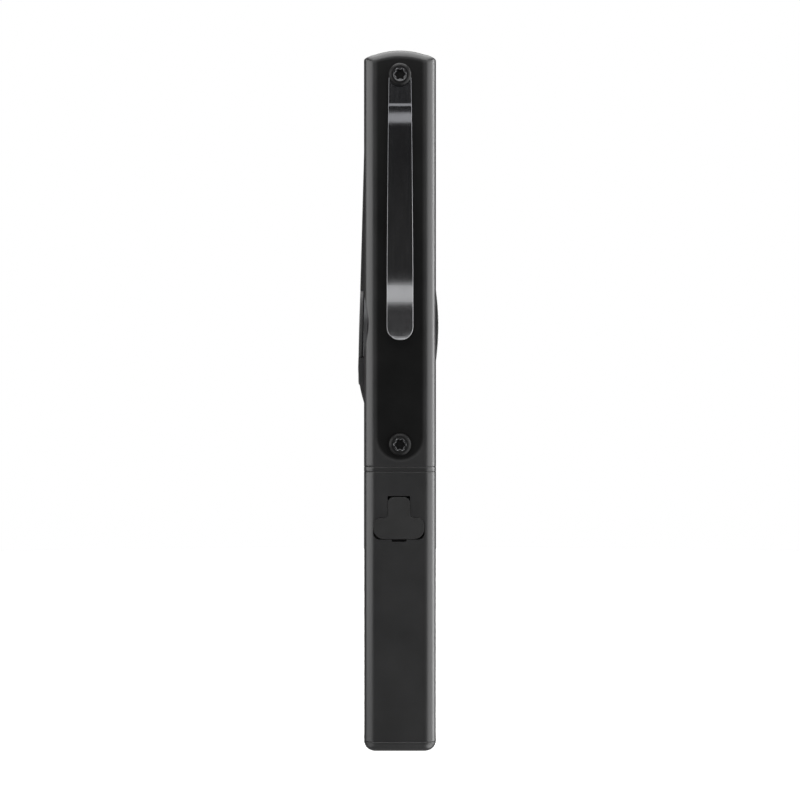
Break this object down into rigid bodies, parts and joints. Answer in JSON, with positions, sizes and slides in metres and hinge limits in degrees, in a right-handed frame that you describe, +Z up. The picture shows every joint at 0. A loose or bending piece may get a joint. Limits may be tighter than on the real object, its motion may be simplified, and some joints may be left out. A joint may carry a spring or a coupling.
{
  "type": "portable field recorder",
  "caption": "Slim stick-shaped handheld audio recorder with a pocket clip, jog wheel, small display, rear button and rubber port cover.",
  "frame": {"origin": "centre of the flat base, on the axis of the housing", "axes": "+Z up along the housing, -Y out of the narrow side with the clip, -X out of the control face, +X out of the rear face"},
  "size_m": [0.0205, 0.0376, 0.1749],
  "materials": {
    "body_shell": "fine matte grain, soft-touch",
    "section_ring": "satin",
    "control_panel": "fine matte",
    "black_clip": "glossy black coated spring steel",
    "black_screw": "black oxide",
    "black_grille": "black perforated steel",
    "brass_insert": "turned",
    "port_rubber": "matte",
    "wheel_black": "satin",
    "satin_ring": "dark satin anodised",
    "key_plastic": "satin",
    "rear_button_black": "semi-gloss",
    "record_key": "satin",
    "display_lens": "smoked clear",
    "display_module": "unlit display",
    "component_black": "moulded",
    "bright_steel": "plain",
    "keypad_silicone": "matte",
    "circuit_board": "solder mask",
    "chassis_aluminium": "sheet",
    "battery_wrap": "shrink wrap",
    "light_pipe": "frosted"
  },
  "bodies": {
    "housing": {"battery_pack": "battery_wrap", "board_screw_1": "bright_steel", "board_screw_2": "bright_steel", "board_screw_3": "bright_steel", "bottom_cap": "body_shell", "cap_screw_1": "black_screw", "cap_screw_2": "black_screw", "card_slot": "bright_steel", "chassis": "chassis_aluminium", "clip_eye": "black_clip", "clip_screw": "black_screw", "control_panel": "control_panel", "display_lens": "display_lens", "display_module": "display_module", "headphone_jack": "component_black", "housing_screw": "black_screw", "io_board": "circuit_board", "jog_encoder": "component_black", "joint_ring": "section_ring", "keypad_membrane": "keypad_silicone", "line_in_jack": "component_black", "lower_housing": "body_shell", "main_board": "circuit_board", "mic_grille": "black_grille", "mic_left": "bright_steel", "mic_right": "bright_steel", "rear_switch": "bright_steel", "select_switch": "bright_steel", "speaker": "component_black", "speaker_grille": "black_grille", "status_light": "light_pipe", "tripod_insert": "brass_insert", "upper_housing": "body_shell", "usb_port": "bright_steel"},
    "clip": {"clip_blade": "black_clip"},
    "cover": {"port_cover": "port_rubber"},
    "wheel": {"jog_wheel": "wheel_black", "jog_ring": "satin_ring"},
    "select": {"select_button": "key_plastic"},
    "record_key": {"button_record": "record_key"},
    "play_key": {"button_play": "key_plastic"},
    "stop_key": {"button_stop": "key_plastic"},
    "rear_key": {"rear_button": "rear_button_black"},
    "rocker": {"volume_rocker": "key_plastic"},
    "slider": {"hold_slider": "key_plastic"}
  },
  "joints": [
    {"name": "clip_flex", "type": "hinge", "parent": "housing", "child": "clip", "pos_m": [0, -0.0164, 0.1633], "axis": [1, 0, 0], "range_deg": [-4, 0], "stiffness_Nm_per_rad": 2},
    {"name": "cover_hinge", "type": "hinge", "parent": "housing", "child": "cover", "pos_m": [-0.00028, -0.0154, 0.0624], "axis": [-1, 0, 0], "range_deg": [0, 95], "stiffness_Nm_per_rad": 0.0004},
    {"name": "jog_turn", "type": "hinge", "parent": "housing", "child": "wheel", "pos_m": [-0.01018, 0, 0.1067], "axis": [-0.9996, 0, 0.0278], "continuous": true},
    {"name": "select_press", "type": "slide", "parent": "housing", "child": "select", "axis": [0.9996, 0, -0.0278], "range_m": [0, 0.0005], "stiffness_N_per_m": 800},
    {"name": "record_press", "type": "slide", "parent": "housing", "child": "record_key", "axis": [1, 0, 0], "range_m": [0, 0.0005], "stiffness_N_per_m": 800},
    {"name": "play_press", "type": "slide", "parent": "housing", "child": "play_key", "axis": [1, 0, 0], "range_m": [0, 0.0005], "stiffness_N_per_m": 800},
    {"name": "stop_press", "type": "slide", "parent": "housing", "child": "stop_key", "axis": [1, 0, 0], "range_m": [0, 0.0005], "stiffness_N_per_m": 800},
    {"name": "rear_press", "type": "slide", "parent": "housing", "child": "rear_key", "axis": [-1, 0, 0], "range_m": [0, 0.0004], "stiffness_N_per_m": 800},
    {"name": "volume_rock", "type": "hinge", "parent": "housing", "child": "rocker", "pos_m": [0, 0.0152, 0.141], "axis": [1, 0, 0], "range_deg": [-3, 3], "stiffness_Nm_per_rad": 0.1},
    {"name": "hold_slide", "type": "slide", "parent": "housing", "child": "slider", "axis": [0, 0, 1], "range_m": [0, 0.0035]}
  ]
}
